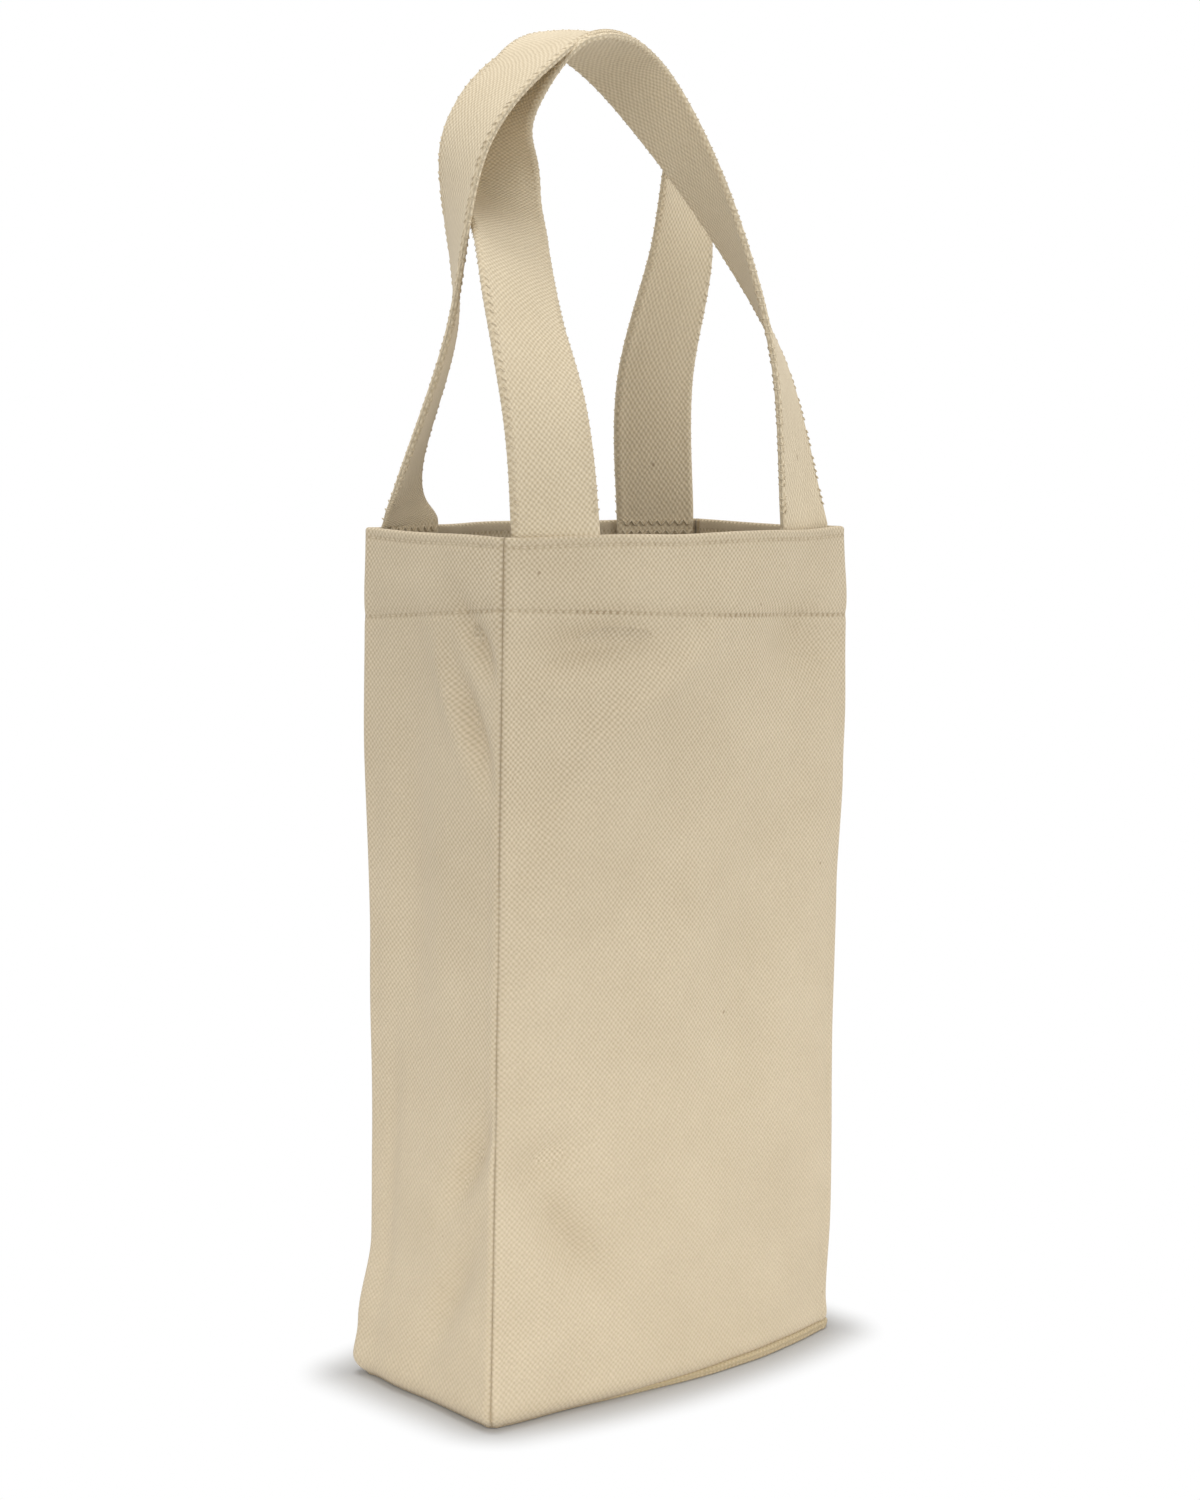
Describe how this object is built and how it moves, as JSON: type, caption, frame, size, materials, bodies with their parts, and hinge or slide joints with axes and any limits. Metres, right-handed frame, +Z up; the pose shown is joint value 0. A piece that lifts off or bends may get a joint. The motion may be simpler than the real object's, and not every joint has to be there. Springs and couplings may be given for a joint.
{
  "type": "bottle carrier tote",
  "caption": "Tall canvas tote that carries wine bottles upright side by side, with a hanging divider and cloth handles that swing down over the rim.",
  "frame": {"origin": "middle of the base on the floor", "axes": "+Z up, +X to the right along the broad front, +Y to the back; the front panel faces -Y"},
  "size_m": [0.172, 0.1036, 0.4805],
  "materials": {
    "canvas": "unbleached cotton canvas, plain weave, matte",
    "strap": "folded cotton canvas strap, matte",
    "thread": "cream cotton sewing thread, matte"
  },
  "bodies": {
    "bag": {"front_panel": "canvas", "back_panel": "canvas", "left_gusset": "canvas", "right_gusset": "canvas", "base_panel": "canvas", "divider": "canvas", "front_handle_left_end": "strap", "front_handle_right_end": "strap", "back_handle_left_end": "strap", "back_handle_right_end": "strap", "hem_upper_stitches": "thread", "hem_lower_stitches": "thread", "base_seam_stitches": "thread", "front_left_seam_stitches": "thread", "front_right_seam_stitches": "thread", "back_left_seam_stitches": "thread", "back_right_seam_stitches": "thread", "front_left_tack_stitches": "thread", "front_right_tack_stitches": "thread", "back_left_tack_stitches": "thread", "back_right_tack_stitches": "thread"},
    "front_loop": {"front_handle": "strap", "front_handle_stitches": "thread"},
    "back_loop": {"back_handle": "strap", "back_handle_stitches": "thread"}
  },
  "joints": [
    {"name": "front_handle_swing", "type": "hinge", "parent": "bag", "child": "front_loop", "pos_m": [0, -0.049, 0.307], "axis": [1, 0, 0], "range_deg": [0, 165]},
    {"name": "back_handle_swing", "type": "hinge", "parent": "bag", "child": "back_loop", "pos_m": [0, 0.049, 0.307], "axis": [-1, 0, 0], "range_deg": [0, 165]}
  ]
}
